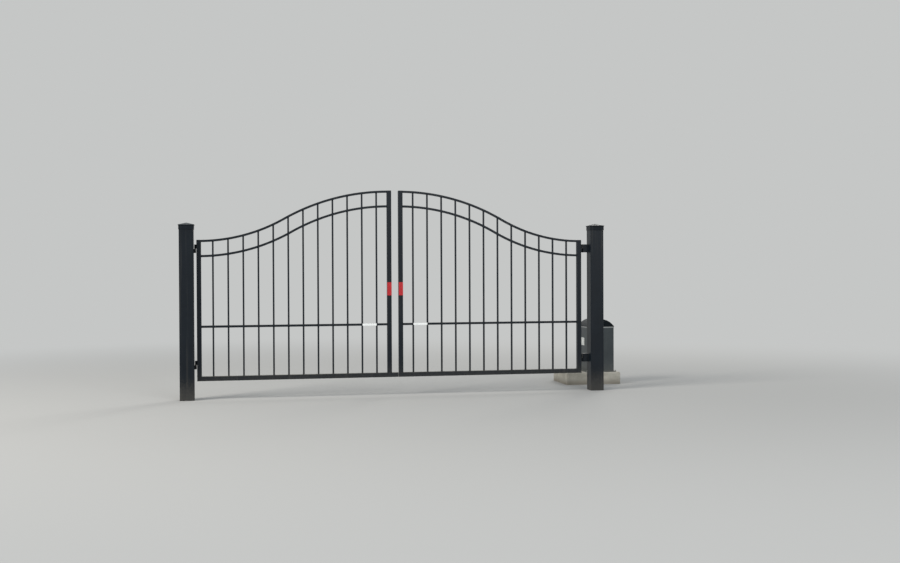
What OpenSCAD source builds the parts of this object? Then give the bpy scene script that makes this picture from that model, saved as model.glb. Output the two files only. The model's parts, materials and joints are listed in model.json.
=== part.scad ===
// Double swing driveway gate of welded square tube: two posts, two leaves with
// reverse-curve arched tops, barrel hinges and the cabinet of a pad-mounted operator.
// X runs along the gate from the left post to the right one, Y points into the
// property (the way the leaves open), Z is up. The origin is the middle of the
// left post's foot.

/* [Posts] */
// Width of a square post
post_w = 160; // [120:1:180]
// Wall thickness of a post
post_wall = 5; // [3:0.5:8]
// Height of a post's tube above its foot
post_h = 1910; // [1850:5:2150]
// Thickness of the plate that closes a post's foot
foot_t = 8; // [5:1:15]
// Outside overhang of the cap's collar beyond the post
collar_out = 4; // [2:0.5:8]
// Height of the cap's collar, which stands on the tube's end
collar_h = 46; // [25:1:60]
// Overhang of the cap's lip beyond the collar
lip_out = 5; // [3:0.5:12]
// Thickness of the cap's lip
lip_h = 10; // [8:0.5:20]
// Rise of the cap's shallow pyramid
pyramid_h = 22; // [12:1:40]
// Depth of the cap's spigot inside the tube
spigot_h = 40; // [25:1:60]
// Wall thickness of the spigot
spigot_wall = 4; // [3:0.5:6]
// Clearance of the spigot in the tube, on each side
spigot_fit = 0.5; // [0.2:0.1:1]

/* [Layout] */
// Width of one leaf, over its stiles
leaf_w = 2200; // [2100:10:2300]
// Gap between the left post and the left leaf
left_gap = 30; // [28:1:50]
// Gap between the right leaf and the right post
right_gap = 100; // [80:1:130]
// Gap between the two meeting stiles
centre_gap = 82; // [60:1:100]
// Height of the leaves' underside above the posts' feet
leaf_clear = 210; // [180:5:260]

/* [Leaf frame] */
// Width of the square stiles and bottom rail
stile_w = 50.8; // [40:0.2:60]
// Width of the square mid rail and arched rails
rail_w = 25.4; // [24:0.2:30]
// Height of a leaf at its hinge stile
hinge_side_h = 1585; // [1500:5:1650]
// Height of a leaf at its meeting stile
meeting_side_h = 2155; // [2100:5:2250]
// Height of the mid rail's centre above the leaf's underside
mid_rail_h = 610; // [560:5:680]
// Distance between the two arched rails, centre to centre
arch_gap = 170; // [120:5:200]
// Share of the arch's width that curves upward, at the hinge side
hollow_share = 0.44; // [0.38:0.01:0.5]
// Space left between the closing stop and the right leaf
stop_gap = 8; // [6:0.5:12]

/* [Pickets] */
// Width of a square picket
picket_w = 19; // [16:0.2:20]
// First picket's centre from the leaf's hinge edge
picket_start = 180; // [170:1:190]
// Last picket's centre from the leaf's meeting edge
picket_end = 172; // [165:1:180]
// Number of pickets in a leaf
picket_count = 12; // [11:1:12]

/* [Markers] */
// Height of a red marker on a meeting stile
marker_h = 152; // [120:2:220]
// Height of the red marker's lower edge above the leaf's underside
marker_z = 944; // [850:2:1000]
// Thickness of the markers
marker_t = 2; // [1:0.5:4]
// Length of a white marker on a mid rail
white_marker_w = 164; // [120:2:180]

/* [Hinges] */
// Radius of a hinge barrel
barrel_r = 10; // [9:0.5:11]
// Radius of a hinge pin
pin_r = 6; // [5:0.5:7]
// Radial running clearance of pins in their bores
pin_fit = 0.05; // [0.02:0.01:0.1]
// Height of one hinge knuckle
knuckle_h = 46; // [40:1:55]
// Running gap between the two knuckles of a hinge
knuckle_gap = 4; // [2:0.5:8]
// Distance of the hinge axis behind the middle of the leaf
hinge_back = 38; // [36:0.5:42]
// Distance from the hinge axis to the leaf's hinge edge
hinge_reach = 15; // [14:0.5:17]
// Height of the lower hinge above the leaf's underside
lower_hinge_z = 130; // [100:5:200]
// Height of the upper hinge above the leaf's underside
upper_hinge_z = 1438; // [1300:1:1480]
// Thickness of the hinge straps
strap_t = 12; // [10:0.5:14]
// Lap of a hinge strap on the stile
strap_lap = 40; // [30:1:48]
// Width of the right post's hinge stand-offs
standoff_w = 60; // [50:1:80]

/* [Operator] */
// Concrete pad, width
pad_w = 700; // [600:10:750]
// Concrete pad, depth
pad_d = 600; // [520:10:700]
// Concrete pad, height
pad_h = 150; // [120:5:180]
// Distance from the right post's centre to the pad's left edge
pad_left = 174; // [150:2:220]
// Distance of the pad's front behind the posts' middle plane
pad_back = 600; // [500:10:700]
// Cabinet width
cabinet_w = 345; // [320:5:380]
// Cabinet depth
cabinet_d = 400; // [350:5:440]
// Cabinet height from the pad to the lid
cabinet_h = 568; // [500:1:580]
// Distance from the right post's centre to the cabinet's left side
cabinet_right = 118; // [90:1:130]
// Distance of the cabinet's front behind the pad's front
cabinet_inset = 60; // [40:5:100]
// Overhang of the cabinet's base flange
flange_out = 24; // [15:1:35]
// Thickness of the cabinet's base flange
flange_t = 8; // [5:0.5:12]
// Height of the lid's upright skirt
skirt_h = 8; // [6:0.5:20]
// Rise of the lid's barrel top above its skirt
lid_rise = 92; // [70:1:110]
// Overhang of the lid over the cabinet
lid_out = 6; // [3:0.5:10]

/* [Hidden] */
$fn = 96;
// Facets of the arches' large circles
arc_fn = 720;
// Angle by which each bend runs on past the turning point, so that the two join
bend_lap = 0.05;
// Overlap that lets a cut run clear past a face
slack = 1;

// Colours
frame_black = [0.15, 0.17, 0.19];
cap_grey = [0.3, 0.33, 0.35];
marker_red = [0.6, 0.15, 0.15];
marker_white = [0.9, 0.9, 0.88];
cabinet_grey = [0.3, 0.34, 0.35];
lid_black = [0.1, 0.11, 0.12];
concrete = [0.62, 0.6, 0.55];

// Places along the gate
left_leaf_x = post_w / 2 + left_gap;
right_leaf_x = left_leaf_x + 2 * leaf_w + centre_gap;
right_post_x = right_leaf_x + right_gap + post_w / 2;
stop_len = centre_gap - stop_gap;

// Hinges
left_axis_x = left_leaf_x - hinge_reach;
right_axis_x = right_leaf_x + hinge_reach;
hinge_h = 2 * knuckle_h + knuckle_gap;
left_reach = left_gap - hinge_reach;
right_reach = right_gap - hinge_reach;

// Arch: two tangent arcs that spring level from the stiles' centre lines
arch_l = leaf_w - stile_w;
arch_rise = meeting_side_h - hinge_side_h;
arch_a = 2 * atan(arch_rise / arch_l);
arch_r = arch_l / sin(arch_a);
hollow_r = arch_r * hollow_share;
crown_r = arch_r * (1 - hollow_share);
arch_x0 = stile_w / 2;
arch_x1 = leaf_w - stile_w / 2;
arch_z0 = hinge_side_h - rail_w / 2;
arch_z1 = meeting_side_h - rail_w / 2;
turn_x = arch_x0 + hollow_r * sin(arch_a);

// Pickets
picket_pitch = (leaf_w - picket_start - picket_end) / (picket_count - 1);

// Operator
lid_z = pad_h + cabinet_h;
cabinet_x = right_post_x + cabinet_right;
cabinet_y = pad_back + cabinet_inset;
lid_w = cabinet_w + 2 * lid_out;
lid_d = cabinet_d + 2 * lid_out;
lid_top_r = (pow(lid_w / 2, 2) + pow(lid_rise, 2)) / (2 * lid_rise);

// A box given by its lowest corner and its size
module block(at, size) {
    translate(at) cube(size);
}

// Puts a leaf's own frame in place: hinge edge at x = 0, underside at z = 0
module on_left() {
    translate([left_leaf_x, 0, leaf_clear]) children();
}
module on_right() {
    translate([right_leaf_x, 0, leaf_clear]) mirror([1, 0, 0]) children();
}
module at_meeting_edge() {
    translate([leaf_w - stile_w, 0, 0]) children();
}

// Post: a tube with a closed foot, and its cap
module post() {
    color(frame_black) {
        difference() {
            block([-post_w / 2, -post_w / 2, 0], [post_w, post_w, post_h]);
            block(
                [-post_w / 2 + post_wall, -post_w / 2 + post_wall, foot_t],
                [post_w - 2 * post_wall, post_w - 2 * post_wall, post_h]
            );
        }
    }
}

// A triangular prism, half of a shallow pyramid's slopes
module slopes(w, h) {
    rotate([90, 0, 0])
        linear_extrude(height = w, center = true)
            polygon([[-w / 2, 0], [w / 2, 0], [0, h]]);
}

// Cap: a spigot in the tube, a collar on its end, a lip and a shallow pyramid
module post_cap() {
    collar_w = post_w + 2 * collar_out;
    lip_w = collar_w + 2 * lip_out;
    spigot_w = post_w - 2 * post_wall - 2 * spigot_fit;
    hollow_w = spigot_w - 2 * spigot_wall;
    lip_z = post_h + collar_h;
    color(cap_grey) {
        difference() {
            block([-spigot_w / 2, -spigot_w / 2, post_h - spigot_h], [spigot_w, spigot_w, spigot_h]);
            block(
                [-hollow_w / 2, -hollow_w / 2, post_h - spigot_h - slack],
                [hollow_w, hollow_w, spigot_h + slack]
            );
        }
        block([-collar_w / 2, -collar_w / 2, post_h], [collar_w, collar_w, collar_h]);
        block([-lip_w / 2, -lip_w / 2, lip_z], [lip_w, lip_w, lip_h]);
        translate([0, 0, lip_z + lip_h]) intersection() {
            slopes(lip_w, pyramid_h);
            rotate([0, 0, 90]) slopes(lip_w, pyramid_h);
        }
    }
}

// Leaf frame
module stile(h) {
    color(frame_black) {
        block([0, -stile_w / 2, stile_w], [stile_w, stile_w, h - stile_w]);
    }
}

module bottom_rail(extra) {
    color(frame_black) {
        block([0, -stile_w / 2, 0], [leaf_w + extra, stile_w, stile_w]);
    }
}

// The square shafts that the pickets fill, from the bottom rail up
module picket_shafts(top) {
    for (i = [0 : picket_count - 1])
        block(
            [picket_start + i * picket_pitch - picket_w / 2, -picket_w / 2, stile_w],
            [picket_w, picket_w, top - stile_w]
        );
}

module mid_rail() {
    color(frame_black) {
        difference() {
            block(
                [stile_w, -rail_w / 2, mid_rail_h - rail_w / 2],
                [leaf_w - 2 * stile_w, rail_w, rail_w]
            );
            picket_shafts(meeting_side_h);
        }
    }
}

// One curved stretch of square bar, of a given radius, from angle a0 through turn
module curved_bar(r, a0, turn) {
    rotate([90, 0, 0]) rotate([0, 0, a0])
        rotate_extrude(angle = turn, $fn = arc_fn)
            translate([r, 0]) square(rail_w, center = true);
}

// An arched rail, set in by a distance from the upper one, cut to fit between the stiles
module arch_rail(drop) {
    intersection() {
        union() {
            translate([arch_x0, 0, arch_z0 + hollow_r])
                curved_bar(hollow_r + drop, -90, arch_a + bend_lap);
            translate([arch_x1, 0, arch_z1 - crown_r])
                curved_bar(crown_r - drop, 90, arch_a + bend_lap);
        }
        block([stile_w, -rail_w, 0], [leaf_w - 2 * stile_w, 2 * rail_w, meeting_side_h + rail_w]);
    }
}

module lower_arch_rail() {
    color(frame_black) {
        difference() {
            arch_rail(arch_gap);
            picket_shafts(meeting_side_h);
        }
    }
}

// A round bar across the leaf, used to cut the picket heads to the upper arch
module across(x, z, r) {
    translate([x, 0, z]) rotate([90, 0, 0])
        cylinder(r = r, h = 2 * stile_w, center = true, $fn = arc_fn);
}

module picket(x) {
    if (x < turn_x)
        difference() {
            block([x - picket_w / 2, -picket_w / 2, stile_w], [picket_w, picket_w, arch_z1 - stile_w]);
            across(arch_x0, arch_z0 + hollow_r, hollow_r + rail_w / 2);
        }
    else
        intersection() {
            block([x - picket_w / 2, -picket_w / 2, stile_w], [picket_w, picket_w, arch_z1 - stile_w]);
            across(arch_x1, arch_z1 - crown_r, crown_r - rail_w / 2);
        }
}

module pickets() {
    color(frame_black) {
        for (i = [0 : picket_count - 1]) picket(picket_start + i * picket_pitch);
    }
}

module red_marker() {
    color(marker_red) {
        block([leaf_w - stile_w, -stile_w / 2 - marker_t, marker_z], [stile_w, marker_t, marker_h]);
    }
}

module white_marker() {
    color(marker_white) {
        last_x = picket_start + (picket_count - 1) * picket_pitch;
        middle_x = last_x - picket_pitch / 2;
        block(
            [middle_x - white_marker_w / 2, -rail_w / 2 - marker_t, mid_rail_h - rail_w / 2],
            [white_marker_w, marker_t, rail_w]
        );
    }
}

// Hinge, about its own axis: the seat's knuckle below, the leaf's eye above.
// The post lies at -x and the leaf at +x.
module hinge_seat(reach) {
    color(frame_black) {
        cylinder(r = barrel_r, h = knuckle_h);
        cylinder(r = pin_r, h = hinge_h - slack);
        block([-reach, -barrel_r, 0], [reach, 2 * barrel_r, knuckle_h]);
    }
}

// The same seat, packed out from the post by a block
module packed_seat(reach) {
    hinge_seat(reach);
    color(frame_black)
        block([-reach, -standoff_w / 2, 0], [reach - hinge_reach, standoff_w, hinge_h]);
}

module hinge_eye() {
    color(frame_black) {
        translate([0, 0, knuckle_h + knuckle_gap]) difference() {
            union() {
                cylinder(r = barrel_r, h = knuckle_h);
                block(
                    [0, stile_w / 2 - hinge_back, 0],
                    [hinge_reach + strap_lap, strap_t, knuckle_h]
                );
            }
            translate([0, 0, -slack]) cylinder(r = pin_r + pin_fit, h = knuckle_h + 2 * slack);
        }
    }
}

module at_left_hinge(z) {
    translate([left_axis_x, hinge_back, leaf_clear + z]) children();
}
module at_right_hinge(z) {
    translate([right_axis_x, hinge_back, leaf_clear + z]) mirror([1, 0, 0]) children();
}

// Operator
module operator_pad() {
    color(concrete) {
        block([right_post_x - pad_left, pad_back, 0], [pad_w, pad_d, pad_h]);
    }
}

module operator_cabinet() {
    color(cabinet_grey) {
        block([cabinet_x, cabinet_y, pad_h], [cabinet_w, cabinet_d, cabinet_h]);
        block(
            [cabinet_x - flange_out, cabinet_y - flange_out, pad_h],
            [cabinet_w + 2 * flange_out, cabinet_d + 2 * flange_out, flange_t]
        );
    }
}

// The lid's end outline: a short skirt under the arc of a barrel top
module lid_outline() {
    translate([-lid_w / 2, 0]) square([lid_w, skirt_h]);
    intersection() {
        translate([-lid_w / 2, 0]) square([lid_w, skirt_h + lid_rise + slack]);
        translate([0, skirt_h + lid_rise - lid_top_r]) circle(lid_top_r, $fn = arc_fn);
    }
}

module operator_lid() {
    color(lid_black) {
        translate([cabinet_x + cabinet_w / 2, cabinet_y + cabinet_d + lid_out, lid_z])
            rotate([90, 0, 0]) linear_extrude(height = lid_d) lid_outline();
    }
}

module upper_arch_rail() {
    color(frame_black) arch_rail(0);
}

post();  // left_post
post_cap();  // left_post_cap
translate([right_post_x, 0, 0]) post();  // right_post
translate([right_post_x, 0, 0]) post_cap();  // right_post_cap
at_left_hinge(lower_hinge_z) hinge_seat(left_reach);  // left_lower_hinge_seat
at_left_hinge(upper_hinge_z) hinge_seat(left_reach);  // left_upper_hinge_seat
at_right_hinge(lower_hinge_z) packed_seat(right_reach);  // right_lower_hinge_seat
at_right_hinge(upper_hinge_z) packed_seat(right_reach);  // right_upper_hinge_seat
operator_pad();
operator_cabinet();
operator_lid();
on_left() stile(hinge_side_h);  // left_hinge_stile
on_left() at_meeting_edge() stile(meeting_side_h);  // left_meeting_stile
on_left() bottom_rail(stop_len);  // left_bottom_rail
on_left() mid_rail();  // left_mid_rail
on_left() upper_arch_rail();  // left_upper_arch_rail
on_left() lower_arch_rail();  // left_lower_arch_rail
on_left() pickets();  // left_pickets
at_left_hinge(lower_hinge_z) hinge_eye();  // left_lower_hinge_eye
at_left_hinge(upper_hinge_z) hinge_eye();  // left_upper_hinge_eye
on_left() red_marker();  // left_red_marker
on_left() white_marker();  // left_white_marker
on_right() stile(hinge_side_h);  // right_hinge_stile
on_right() at_meeting_edge() stile(meeting_side_h);  // right_meeting_stile
on_right() bottom_rail(0);  // right_bottom_rail
on_right() mid_rail();  // right_mid_rail
on_right() upper_arch_rail();  // right_upper_arch_rail
on_right() lower_arch_rail();  // right_lower_arch_rail
on_right() pickets();  // right_pickets
at_right_hinge(lower_hinge_z) hinge_eye();  // right_lower_hinge_eye
at_right_hinge(upper_hinge_z) hinge_eye();  // right_upper_hinge_eye
on_right() red_marker();  // right_red_marker
on_right() white_marker();  // right_white_marker
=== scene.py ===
"""Double swing driveway gate of black powder-coated square tube, with its operator.

X runs along the gate, Y into the property and Z up, in metres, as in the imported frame.
"""

import json
import math

import bpy
from mathutils import Matrix, Vector


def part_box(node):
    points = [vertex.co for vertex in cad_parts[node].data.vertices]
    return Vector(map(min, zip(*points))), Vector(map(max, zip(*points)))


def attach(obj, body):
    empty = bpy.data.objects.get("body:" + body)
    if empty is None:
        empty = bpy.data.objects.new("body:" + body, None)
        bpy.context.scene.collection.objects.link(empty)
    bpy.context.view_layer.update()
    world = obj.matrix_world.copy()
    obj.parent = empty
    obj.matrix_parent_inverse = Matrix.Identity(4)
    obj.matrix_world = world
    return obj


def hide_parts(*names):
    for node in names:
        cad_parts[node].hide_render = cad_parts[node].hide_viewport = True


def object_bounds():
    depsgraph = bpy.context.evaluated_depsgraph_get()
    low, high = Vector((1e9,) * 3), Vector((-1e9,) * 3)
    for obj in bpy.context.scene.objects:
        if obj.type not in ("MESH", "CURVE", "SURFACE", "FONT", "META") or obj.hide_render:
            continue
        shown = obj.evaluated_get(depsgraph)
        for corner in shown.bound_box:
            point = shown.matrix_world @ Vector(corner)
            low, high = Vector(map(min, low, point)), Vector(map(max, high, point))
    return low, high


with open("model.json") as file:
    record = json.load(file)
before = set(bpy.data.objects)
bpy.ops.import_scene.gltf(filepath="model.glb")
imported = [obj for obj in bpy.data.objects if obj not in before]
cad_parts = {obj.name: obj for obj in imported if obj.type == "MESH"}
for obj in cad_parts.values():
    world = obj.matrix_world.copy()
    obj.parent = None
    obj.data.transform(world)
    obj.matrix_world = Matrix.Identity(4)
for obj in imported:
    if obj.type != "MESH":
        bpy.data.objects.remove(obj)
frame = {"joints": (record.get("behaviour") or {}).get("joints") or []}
cad_low, cad_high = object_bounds()


# The camera stands at eye height, thirteen metres in front of the left post,
# and looks a little to the right, so that the right leaf is the farther one.
EYE = Vector((0.4864, -13.0583, 1.4703))
TURN_RIGHT = math.radians(10.902)
LOOK_DOWN = math.radians(0.692)
ROLL = math.radians(-0.242)
QUARTER_TURN = math.radians(90)
LENS = 45.52
SENSOR_WIDTH = 36

camera_data = bpy.data.cameras.new("camera")
camera_data.sensor_width = SENSOR_WIDTH
camera_data.lens = LENS
camera = bpy.data.objects.new("camera", camera_data)
bpy.context.scene.collection.objects.link(camera)
camera.matrix_world = (
    Matrix.Translation(EYE)
    @ Matrix.Rotation(-TURN_RIGHT, 4, "Z")
    @ Matrix.Rotation(QUARTER_TURN - LOOK_DOWN, 4, "X")
    @ Matrix.Rotation(ROLL, 4, "Z")
)
bpy.context.scene.camera = camera


# The floor is one pale sheet that fades into the pale background, and the light is a
# large soft box on the left, a fill in front, a weak one behind and an even sky.
FLOOR_COLOUR = (0.44, 0.435, 0.42, 1)
BACKGROUND_COLOUR = (0.56, 0.57, 0.565, 1)
SKY_COLOUR = (0.86, 0.93, 1.0, 1)
SKY_STRENGTH = 0.50
FLOOR_HALF = 60
FLOOR_DROP = 0.0005
FADE_FROM, FADE_TO = 3.6, 11


def put(tree, kind, given=None, **settings):
    """Adds a node, feeds its inputs with values or other nodes' outputs, and returns its outputs."""
    node = tree.nodes.new(kind)
    for name, value in settings.items():
        setattr(node, name, value)
    for key, value in (given or {}).items():
        if isinstance(value, bpy.types.NodeSocket):
            tree.links.new(value, node.inputs[key])
        else:
            node.inputs[key].default_value = value
    return node.outputs


def calc(tree, operation, *values):
    """The result of a Math node."""
    return put(tree, "ShaderNodeMath", dict(enumerate(values)), operation=operation)[0]


def ramp(tree, value, start, end):
    """A smooth step from 0 at start to 1 at end."""
    given = {"Value": value, "From Min": start, "From Max": end}
    return put(tree, "ShaderNodeMapRange", given, interpolation_type="SMOOTHSTEP")[0]


def new_material(name):
    """An empty material, and its node tree."""
    material = bpy.data.materials.new(name)
    material.use_nodes = True
    material.node_tree.nodes.clear()
    return material, material.node_tree


floor_material, tree = new_material("pale_floor")
place = put(tree, "ShaderNodeTexCoord")["Object"]
distance = put(tree, "ShaderNodeVectorMath", {0: place}, operation="LENGTH")["Value"]
matt = put(tree, "ShaderNodeBsdfDiffuse", {"Color": FLOOR_COLOUR})[0]
glow = put(tree, "ShaderNodeEmission", {"Color": BACKGROUND_COLOUR})[0]
far_off = ramp(tree, distance, FADE_FROM, FADE_TO)
faded = put(tree, "ShaderNodeMixShader", {0: far_off, 1: matt, 2: glow})[0]
put(tree, "ShaderNodeOutputMaterial", {"Surface": faded})

middle = (cad_low + cad_high) / 2
floor_mesh = bpy.data.meshes.new("floor")
corners = [(x * FLOOR_HALF, y * FLOOR_HALF, 0) for x, y in ((-1, -1), (1, -1), (1, 1), (-1, 1))]
floor_mesh.from_pydata(corners, [], [(0, 1, 2, 3)])
floor_mesh.materials.append(floor_material)
floor = bpy.data.objects.new("floor", floor_mesh)
floor.location = (middle.x, middle.y, cad_low.z - FLOOR_DROP)
bpy.context.scene.collection.objects.link(floor)

world = bpy.data.worlds.new("pale_sky")
world.use_nodes = True
world.node_tree.nodes.clear()
tree = world.node_tree
rays = put(tree, "ShaderNodeLightPath")
seen = calc(tree, "MAXIMUM", rays["Is Camera Ray"], rays["Is Transmission Ray"])
seen = calc(tree, "MAXIMUM", seen, rays["Is Glossy Ray"])
sky = put(tree, "ShaderNodeBackground", {"Color": SKY_COLOUR, "Strength": SKY_STRENGTH})[0]
shown = put(tree, "ShaderNodeBackground", {"Color": BACKGROUND_COLOUR, "Strength": 1.0})[0]
mixed = put(tree, "ShaderNodeMixShader", {0: seen, 1: sky, 2: shown})[0]
put(tree, "ShaderNodeOutputWorld", {"Surface": mixed})
bpy.context.scene.world = world


def soft_box(name, at, size, power, colour):
    """A square area light that faces the middle of the gate."""
    light = bpy.data.lights.new(name, "AREA")
    light.size = size
    light.energy = power
    light.color = colour
    box = bpy.data.objects.new(name, light)
    box.location = at
    box.rotation_euler = (middle - Vector(at)).to_track_quat("-Z", "Y").to_euler()
    bpy.context.scene.collection.objects.link(box)


soft_box("key", at=(-12.0, -6.5, 11.0), size=7.0, power=2900, colour=(1.0, 0.97, 0.92))
soft_box("fill", at=(7.0, -15.0, 7.0), size=8.0, power=800, colour=(0.94, 0.97, 1.0))
soft_box("rim", at=(11.0, 12.0, 9.0), size=6.0, power=1000, colour=(1.0, 0.98, 0.95))

bpy.context.scene.view_settings.view_transform = "Standard"


# Posts: heavy square steel tube with rolled corners, black powder coat, dusty and
# splashed near the foot. They stand on the ground and carry the hinges.
SIDES = ("left", "right")
POST_CORNER = 0.008
CORNER_STEPS = 4
TUBE_EDGE = 0.0008
SHARP_EDGE = math.radians(75)
FLAT_FACE_WEIGHT = 100
BLACK_PAINT = (0.0050, 0.0084, 0.0128, 1)
DUST = (0.30, 0.27, 0.22, 1)


def rounded_outline(half_a, half_b, radius):
    """The points round a rectangle with rounded corners, anticlockwise."""
    points = []
    for corner, (sign_a, sign_b) in enumerate(((1, 1), (-1, 1), (-1, -1), (1, -1))):
        for step in range(CORNER_STEPS + 1):
            angle = QUARTER_TURN * (corner + step / CORNER_STEPS)
            points.append((
                sign_a * (half_a - radius) + radius * math.cos(angle),
                sign_b * (half_b - radius) + radius * math.sin(angle),
            ))
    return points


def loft(name, rings, axis="Z", centre=(0, 0, 0)):
    """A closed solid through rounded rectangles: place along the axis, two half widths, corner radius."""
    vertices = []
    for along, half_a, half_b, radius in rings:
        for a, b in rounded_outline(half_a, half_b, radius):
            vertices.append({"X": (along, a, b), "Y": (b, along, a), "Z": (a, b, along)}[axis])
    count = 4 * (CORNER_STEPS + 1)
    faces = [tuple(reversed(range(count)))]
    for level in range(len(rings) - 1):
        for i in range(count):
            j = (i + 1) % count
            low, high = level * count, (level + 1) * count
            faces.append((low + i, low + j, high + j, high + i))
    faces.append(tuple(range(len(vertices) - count, len(vertices))))
    mesh = bpy.data.meshes.new(name)
    mesh.from_pydata(vertices, [], faces)
    mesh.transform(Matrix.Translation(centre))
    return mesh


def tube(name, low, high, corner, edge=TUBE_EDGE, axis=None):
    """A tube along an axis, else along its box's longest side, its cut ends a little broken."""
    size = Vector(high) - Vector(low)
    axis = axis or "XYZ"[max(range(3), key=lambda i: size[i])]
    length = size["XYZ".index(axis)]
    half_a, half_b = {"X": (size.y, size.z), "Y": (size.z, size.x), "Z": (size.x, size.y)}[axis]
    half_a, half_b = half_a / 2, half_b / 2
    rings = [
        (-length / 2, half_a - edge, half_b - edge, corner - edge),
        (-length / 2 + edge, half_a, half_b, corner),
        (length / 2 - edge, half_a, half_b, corner),
        (length / 2, half_a - edge, half_b - edge, corner - edge),
    ]
    return loft(name, rings, axis, (Vector(low) + Vector(high)) / 2)


def show(name, mesh, material, body, slot, *nodes):
    """Shows a mesh as a piece of a body, in a material, that stands for the named CAD nodes; the slot
    argument is not used.
    """
    mesh.materials.clear()
    mesh.materials.append(material)
    mesh.shade_smooth()
    mesh.set_sharp_from_angle(angle=SHARP_EDGE)
    piece = bpy.data.objects.new(name, mesh)
    bpy.context.scene.collection.objects.link(piece)
    flat = piece.modifiers.new("flat faces stay flat", "WEIGHTED_NORMAL")
    flat.keep_sharp = True
    flat.weight = FLAT_FACE_WEIGHT
    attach(piece, body)
    if nodes:
        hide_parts(*nodes)
    return piece


def shader_group(name, inputs, outputs):
    """An empty shader group with named sockets, as its tree and its input node's outputs."""
    group = bpy.data.node_groups.new(name, "ShaderNodeTree")
    for label, value in inputs.items():
        kind = "NodeSocketColor" if isinstance(value, tuple) else "NodeSocketFloat"
        group.interface.new_socket(label, in_out="INPUT", socket_type=kind).default_value = value
    for label, kind in outputs.items():
        group.interface.new_socket(label, in_out="OUTPUT", socket_type=kind)
    return group, put(group, "NodeGroupInput")


def noise(tree, place, scale, detail, roughness=0.5):
    """The value of a Noise Texture at a place."""
    given = {"Vector": place, "Scale": scale, "Detail": detail, "Roughness": roughness}
    return put(tree, "ShaderNodeTexNoise", given)[0]


def remap(tree, value, low, high, start=0.0, end=1.0):
    """A value between start and end, carried over to the same place between low and high."""
    given = {"Value": value, "From Min": start, "From Max": end, "To Min": low, "To Max": high}
    return put(tree, "ShaderNodeMapRange", given)[0]


def blend(tree, share, first, second):
    """A colour on the way from the first to the second."""
    return put(tree, "ShaderNodeMix", {0: share, 6: first, 7: second}, data_type="RGBA")[2]


def scaled(tree, colour, factor):
    """A colour made lighter or darker by a factor."""
    return put(tree, "ShaderNodeVectorMath", {0: colour, "Scale": factor}, operation="SCALE")[0]


# The group that every painted piece shares: a paler colour on what faces up, which is dust on most pieces
# and painted skylight on the caps and hinges, splash near the ground, faint runs down the sides, and the
# fine orange peel of a powder coat.
weathering, given = shader_group(
    "weathering",
    {"Paint": BLACK_PAINT, "Dust": DUST, "On top": 0.5, "Splash": 0.4, "Splash height": 0.3,
     "Runs": 0.1, "Gloss": 0.4, "Peel": 1.0},
    {"Colour": "NodeSocketColor", "Roughness": "NodeSocketFloat", "Height": "NodeSocketFloat"},
)
tree = weathering
where = put(tree, "ShaderNodeTexCoord")
across = put(tree, "ShaderNodeSeparateXYZ", {0: where["Object"]})
facing = put(tree, "ShaderNodeSeparateXYZ", {0: where["Normal"]})
clouds = noise(tree, where["Object"], scale=7, detail=6, roughness=0.62)
grains = noise(tree, where["Object"], scale=95, detail=4)
stretched = put(tree, "ShaderNodeMapping", {"Vector": where["Object"], "Scale": (42, 42, 1.3)})[0]
runs = ramp(tree, noise(tree, stretched, scale=1, detail=3), 0.52, 0.78)
on_top = calc(tree, "MULTIPLY", ramp(tree, facing["Z"], 0.25, 0.9), given["On top"])
on_top = calc(tree, "MULTIPLY", on_top, ramp(tree, clouds, 0.2, 0.75))
near_foot = calc(tree, "SUBTRACT", 1.0, calc(tree, "DIVIDE", across["Z"], given["Splash height"]))
ragged = calc(tree, "ADD", near_foot, calc(tree, "MULTIPLY", calc(tree, "SUBTRACT", grains, 0.5), 0.9))
splash = calc(tree, "MULTIPLY", ramp(tree, ragged, 0.0, 1.0), given["Splash"])
dust_and_skylight = calc(tree, "ADD", calc(tree, "ADD", on_top, splash), calc(tree, "MULTIPLY", runs, given["Runs"]))
dust_and_skylight = calc(tree, "MINIMUM", dust_and_skylight, 1.0)
toned = scaled(tree, given["Paint"], remap(tree, clouds, 0.84, 1.2, start=0.25, end=0.8))
colour = blend(tree, dust_and_skylight, toned, given["Dust"])
rough = calc(tree, "ADD", remap(tree, clouds, -0.06, 0.07), given["Gloss"])
rough = calc(tree, "ADD", rough, calc(tree, "MULTIPLY", dust_and_skylight, 0.4))
peel = calc(tree, "MULTIPLY", noise(tree, where["Object"], scale=420, detail=2), given["Peel"])
grit = calc(tree, "MULTIPLY", calc(tree, "MULTIPLY", dust_and_skylight, grains), 2.0)
height = calc(tree, "ADD", peel, grit)
put(tree, "NodeGroupOutput", {"Colour": colour, "Roughness": rough, "Height": height})


def place_group(tree, group, values):
    """Places a shader group with its own values, and returns its outputs."""
    given = {label.replace("_", " "): value for label, value in values.items()}
    return put(tree, "ShaderNodeGroup", given, node_tree=group)


def painted(name, specular=0.2, bump=0.35, **values):
    """A powder-coated or painted finish, from the weathering group with its own values."""
    material, tree = new_material(name)
    skin = place_group(tree, weathering, values)
    relief = put(tree, "ShaderNodeBump", {"Height": skin["Height"], "Strength": bump, "Distance": 0.0003})[0]
    shader = put(tree, "ShaderNodeBsdfPrincipled", {
        "Base Color": skin["Colour"], "Roughness": skin["Roughness"], "Normal": relief,
        "Specular IOR Level": specular,
    })[0]
    put(tree, "ShaderNodeOutputMaterial", {"Surface": shader})
    return material


post_paint = painted("post_paint", Paint=BLACK_PAINT, Splash=0.13, Splash_height=0.30, Runs=0.05, Gloss=0.42)

for side in SIDES:
    low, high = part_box(f"{side}_post")
    show(f"{side}_post_tube", tube(f"{side}_post_tube", low, high, POST_CORNER), post_paint,
         "posts", "post_paint", f"{side}_post")
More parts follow.
